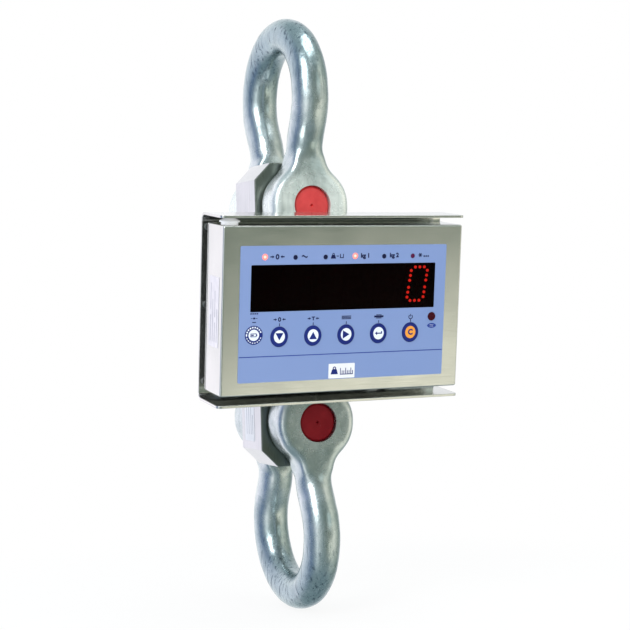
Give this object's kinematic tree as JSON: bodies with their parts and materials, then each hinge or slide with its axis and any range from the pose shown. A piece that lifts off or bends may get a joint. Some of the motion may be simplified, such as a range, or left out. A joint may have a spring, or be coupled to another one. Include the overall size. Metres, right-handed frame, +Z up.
{
  "type": "crane scale",
  "caption": "Hanging scale: two bow shackles pinned to a bar-shaped load cell, with a pitched box holding a wide digit window and a row of round keys in a C-shaped sheet bracket.",
  "frame": {"origin": "inner crown of the upper bow, where the crane hook bears", "axes": "+Z up along the load line, -Y out of the display, +X to the right as the display is read"},
  "size_m": [0.27, 0.278, 0.6394],
  "materials": {
    "galvanised": "hot-dip galvanised forging, mottled satin zinc",
    "red_pin": "glossy red paint",
    "spacer_nylon": "natural nylon",
    "cell_steel": "milled and ground alloy steel, nickel plated",
    "gauge_foil": "constantan foil on polyimide",
    "circuit_board": "green solder mask",
    "fasteners": "stainless fasteners",
    "nickel_brass": "nickel-plated brass",
    "cable_black": "black rubber",
    "label_paper": "white film label",
    "label_silver": "matt silver label",
    "tilt_aluminium": "machined aluminium",
    "stainless": "brushed stainless sheet",
    "white_plastic": "glossy white moulding",
    "film_blue": "periwinkle blue polyester film",
    "window_smoked": "smoked dark red window",
    "key_light": "white key with a navy ring",
    "key_orange": "orange key with a navy ring",
    "switch_black": "black moulded housings",
    "lamp_lit": "lit red lamp",
    "lamp_dark": "unlit lamp behind dark blue print",
    "lamp_red_off": "unlit red lens",
    "battery_grey": "shrink-wrapped battery pack"
  },
  "bodies": {
    "upper_shackle": {"upper_shackle_bow": "galvanised", "upper_shackle_pin": "red_pin", "upper_pin_spacers": "spacer_nylon"},
    "lower_shackle": {"lower_shackle_bow": "galvanised", "lower_shackle_pin": "red_pin", "lower_pin_spacers": "spacer_nylon"},
    "scale_body": {"load_cell": "cell_steel", "front_gauge_cover": "cell_steel", "rear_gauge_cover": "cell_steel", "strain_gauges": "gauge_foil", "gauge_board": "circuit_board", "display_board": "circuit_board", "keypad_board": "circuit_board", "main_board": "circuit_board", "gauge_cover_screws": "fasteners", "cell_bolts": "fasteners", "bracket_bolts": "fasteners", "housing_screws": "fasteners", "cover_screws": "fasteners", "housing_nuts": "fasteners", "board_posts": "fasteners", "cell_cable_gland": "nickel_brass", "indicator_gland": "nickel_brass", "charger_socket": "nickel_brass", "signal_cable": "cable_black", "cover_gasket": "cable_black", "socket_cap": "cable_black", "cell_label": "label_paper", "name_plate": "label_paper", "rating_label": "label_silver", "tilt_frame": "tilt_aluminium", "battery_strap": "tilt_aluminium", "c_bracket": "stainless", "housing_standoffs": "stainless", "housing_front": "stainless", "housing_rear_cover": "stainless", "vent_cap": "white_plastic", "keypad_film": "film_blue", "display_window": "window_smoked", "key_switches": "switch_black", "digit_modules": "switch_black", "board_components": "switch_black", "status_lamps_lit": "lamp_lit", "digit_dots_lit": "lamp_lit", "status_lamps_dark": "lamp_dark", "function_lamp": "lamp_red_off", "infrared_receiver": "lamp_red_off", "digit_dots_dark": "lamp_red_off", "battery_pack": "battery_grey"},
    "key_zero_cap": {"key_zero": "key_light"},
    "key_tare_cap": {"key_tare": "key_light"},
    "key_mode_cap": {"key_mode": "key_light"},
    "key_print_cap": {"key_print": "key_light"},
    "key_power_cap": {"key_power": "key_orange"}
  },
  "joints": [
    {"name": "scale_swing", "type": "hinge", "parent": "upper_shackle", "child": "scale_body", "pos_m": [0, 0, -0.1672], "axis": [0, 1, 0], "range_deg": [-90, 90]},
    {"name": "lower_shackle_swing", "type": "hinge", "parent": "scale_body", "child": "lower_shackle", "pos_m": [0, 0, -0.3952], "axis": [0, 1, 0], "range_deg": [-90, 90]},
    {"name": "key_zero_press", "type": "slide", "parent": "scale_body", "child": "key_zero_cap", "axis": [0, 0.9906, 0.1369], "range_m": [0, 0.0005], "stiffness_N_per_m": 400},
    {"name": "key_tare_press", "type": "slide", "parent": "scale_body", "child": "key_tare_cap", "axis": [0, 0.9906, 0.1369], "range_m": [0, 0.0005], "stiffness_N_per_m": 400},
    {"name": "key_mode_press", "type": "slide", "parent": "scale_body", "child": "key_mode_cap", "axis": [0, 0.9906, 0.1369], "range_m": [0, 0.0005], "stiffness_N_per_m": 400},
    {"name": "key_print_press", "type": "slide", "parent": "scale_body", "child": "key_print_cap", "axis": [0, 0.9906, 0.1369], "range_m": [0, 0.0005], "stiffness_N_per_m": 400},
    {"name": "key_power_press", "type": "slide", "parent": "scale_body", "child": "key_power_cap", "axis": [0, 0.9906, 0.1369], "range_m": [0, 0.0005], "stiffness_N_per_m": 400}
  ]
}
